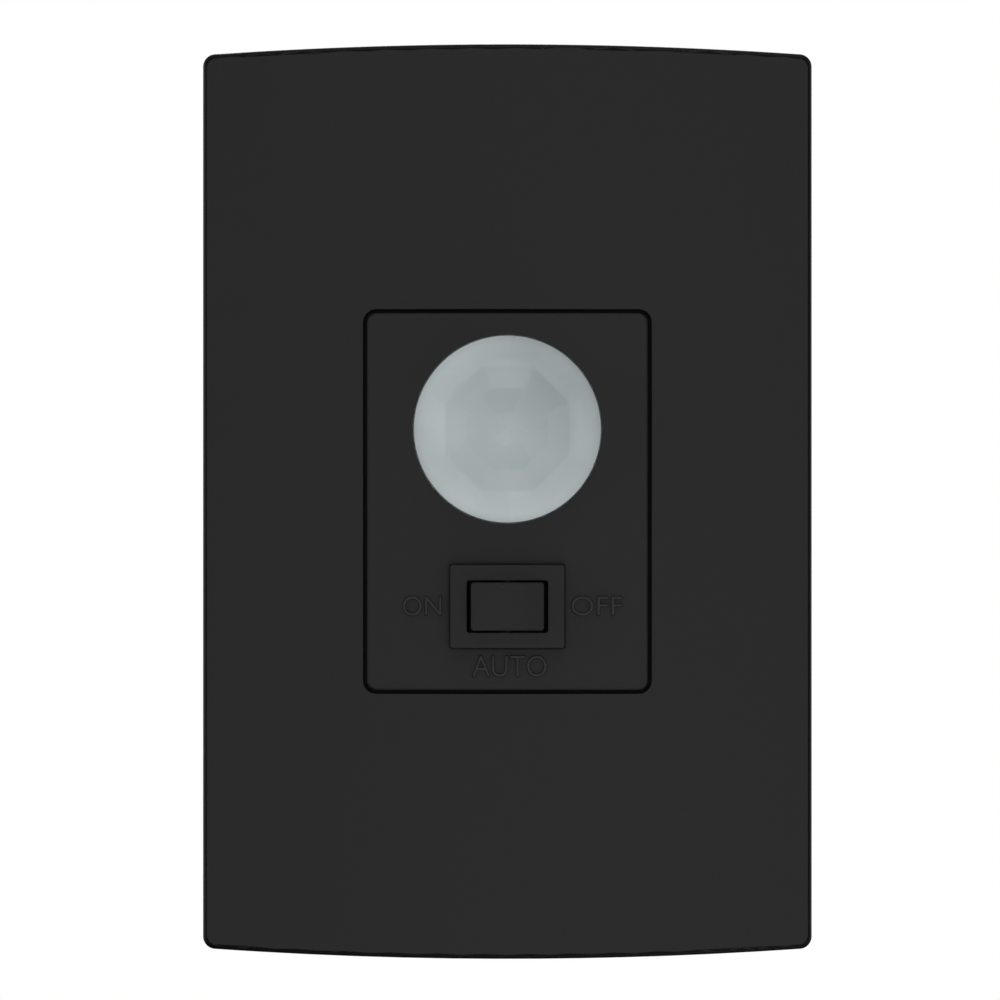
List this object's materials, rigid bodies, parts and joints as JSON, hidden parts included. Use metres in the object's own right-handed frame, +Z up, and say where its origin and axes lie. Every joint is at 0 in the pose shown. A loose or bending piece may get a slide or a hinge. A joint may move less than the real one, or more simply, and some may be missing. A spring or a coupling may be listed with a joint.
{
  "type": "occupancy sensor",
  "caption": "Wall-mounted occupancy sensor with a domed faceted lens and a three-position rocker in an upright black cover plate for a 4 by 2 inch wall box.",
  "frame": {"origin": "middle between the two box screws, on the wall's surface", "axes": "front faces -Y, +Y points into the wall box, +Z is up"},
  "size_m": [0.08, 0.0412, 0.12],
  "materials": {
    "black_abs": "fine spark-eroded texture",
    "frame_nylon": "satin glass-filled nylon",
    "lens_polyethylene": "translucent satin",
    "board_laminate": "green solder mask",
    "zinc_steel": "bright zinc plate",
    "tinned_lead": "dull tin",
    "brass": "turned",
    "chip_epoxy": "moulded epoxy",
    "chip_ceramic": "fired ceramic",
    "film_box": "moulded box",
    "capacitor_sleeve": "shrunk sleeve",
    "varistor_epoxy": "dipped epoxy",
    "resistor_cement": "flameproof coating",
    "diode_epoxy": "moulded epoxy",
    "detector_nickel": "nickel-plated can",
    "filter_silicon": "dark infrared filter",
    "detector_ceramic": "white ceramic",
    "clear_epoxy": "clear epoxy",
    "relay_blue": "moulded cover",
    "relay_black": "moulded base and bobbin",
    "copper_winding": "enamelled copper wire",
    "terminal_green": "moulded nylon",
    "spindle_white": "moulded nylon",
    "spring_steel": "drawn wire",
    "silver_contact": "silver-faced copper"
  },
  "bodies": {
    "sensor_base": {"module_front": "black_abs", "rear_cover": "black_abs", "rocker_frame": "black_abs", "support_frame": "frame_nylon", "lens_retainer": "frame_nylon", "fresnel_lens": "lens_polyethylene", "module_screws": "zinc_steel", "board_screws": "zinc_steel", "cover_screws": "zinc_steel", "switch_contacts": "silver_contact", "pir_spacer": "relay_black", "pir_header": "detector_nickel", "pir_can": "detector_nickel", "pir_window": "filter_silicon", "pir_substrate": "detector_ceramic", "pir_element": "chip_ceramic", "pir_leads": "tinned_lead", "photocell": "clear_epoxy", "photocell_leads": "tinned_lead", "sensor_amplifier": "chip_epoxy", "microcontroller": "chip_epoxy", "chip_resistors": "chip_epoxy", "chip_capacitors": "chip_ceramic", "relay_cover": "relay_blue", "relay_base": "relay_black", "relay_yoke": "zinc_steel", "relay_core": "zinc_steel", "relay_bobbin": "relay_black", "relay_winding": "copper_winding", "relay_fixed_contact": "silver_contact", "relay_pins": "tinned_lead", "film_capacitor": "film_box", "smoothing_capacitor": "capacitor_sleeve", "rail_capacitor": "capacitor_sleeve", "varistor": "varistor_epoxy", "fusible_resistor": "resistor_cement", "rectifier_diodes": "diode_epoxy", "driver_transistor": "chip_epoxy", "time_trimmer": "relay_blue", "light_trimmer": "relay_blue", "terminal_pole_line": "terminal_green", "terminal_pole_neutral": "terminal_green", "terminal_pole_load": "terminal_green", "terminal_clamps": "brass", "terminal_screws": "zinc_steel", "main_board": "board_laminate"},
    "wall_plate": {"wall_plate": "black_abs"},
    "rocker": {"rocker_cap": "black_abs", "switch_spring": "spring_steel"},
    "plunger": {"switch_plunger": "spindle_white"},
    "contact_bridge": {"contact_bridge": "silver_contact"},
    "armature": {"relay_armature": "zinc_steel", "relay_moving_contact": "silver_contact"},
    "time_spindle": {"time_spindle": "spindle_white"},
    "light_spindle": {"light_spindle": "spindle_white"}
  },
  "joints": [
    {"name": "wall_plate_pull", "type": "slide", "parent": "sensor_base", "child": "wall_plate", "axis": [0, -1, 0], "range_m": [0, 0.025]},
    {"name": "rocker_tilt", "type": "hinge", "parent": "sensor_base", "child": "rocker", "pos_m": [0, -0.0075, -0.01375], "axis": [0, 0, 1], "range_deg": [-9, 9]},
    {"name": "plunger_slide", "type": "slide", "parent": "rocker", "child": "plunger", "axis": [0, -1, 0], "range_m": [0, 0.00025], "stiffness_N_per_m": 400},
    {"name": "contact_bridge_tilt", "type": "hinge", "parent": "sensor_base", "child": "contact_bridge", "pos_m": [0, -0.0015, -0.01375], "axis": [0, 0, 1], "range_deg": [-5.4, 5.4]},
    {"name": "relay_armature_tilt", "type": "hinge", "parent": "sensor_base", "child": "armature", "pos_m": [-0.011, 0.0171, 0.0046], "axis": [1, 0, 0], "range_deg": [0, 3], "stiffness_Nm_per_rad": 0.01},
    {"name": "time_spindle_turn", "type": "hinge", "parent": "sensor_base", "child": "time_spindle", "pos_m": [0.0129, 0.0246, 0.006], "axis": [0, 1, 0], "range_deg": [-135, 135]},
    {"name": "light_spindle_turn", "type": "hinge", "parent": "sensor_base", "child": "light_spindle", "pos_m": [0.0129, 0.0246, -0.0035], "axis": [0, 1, 0], "range_deg": [-135, 135]}
  ],
  "couplings": [
    {"joint": "contact_bridge_tilt", "follows": "rocker_tilt", "ratio": -0.6}
  ]
}
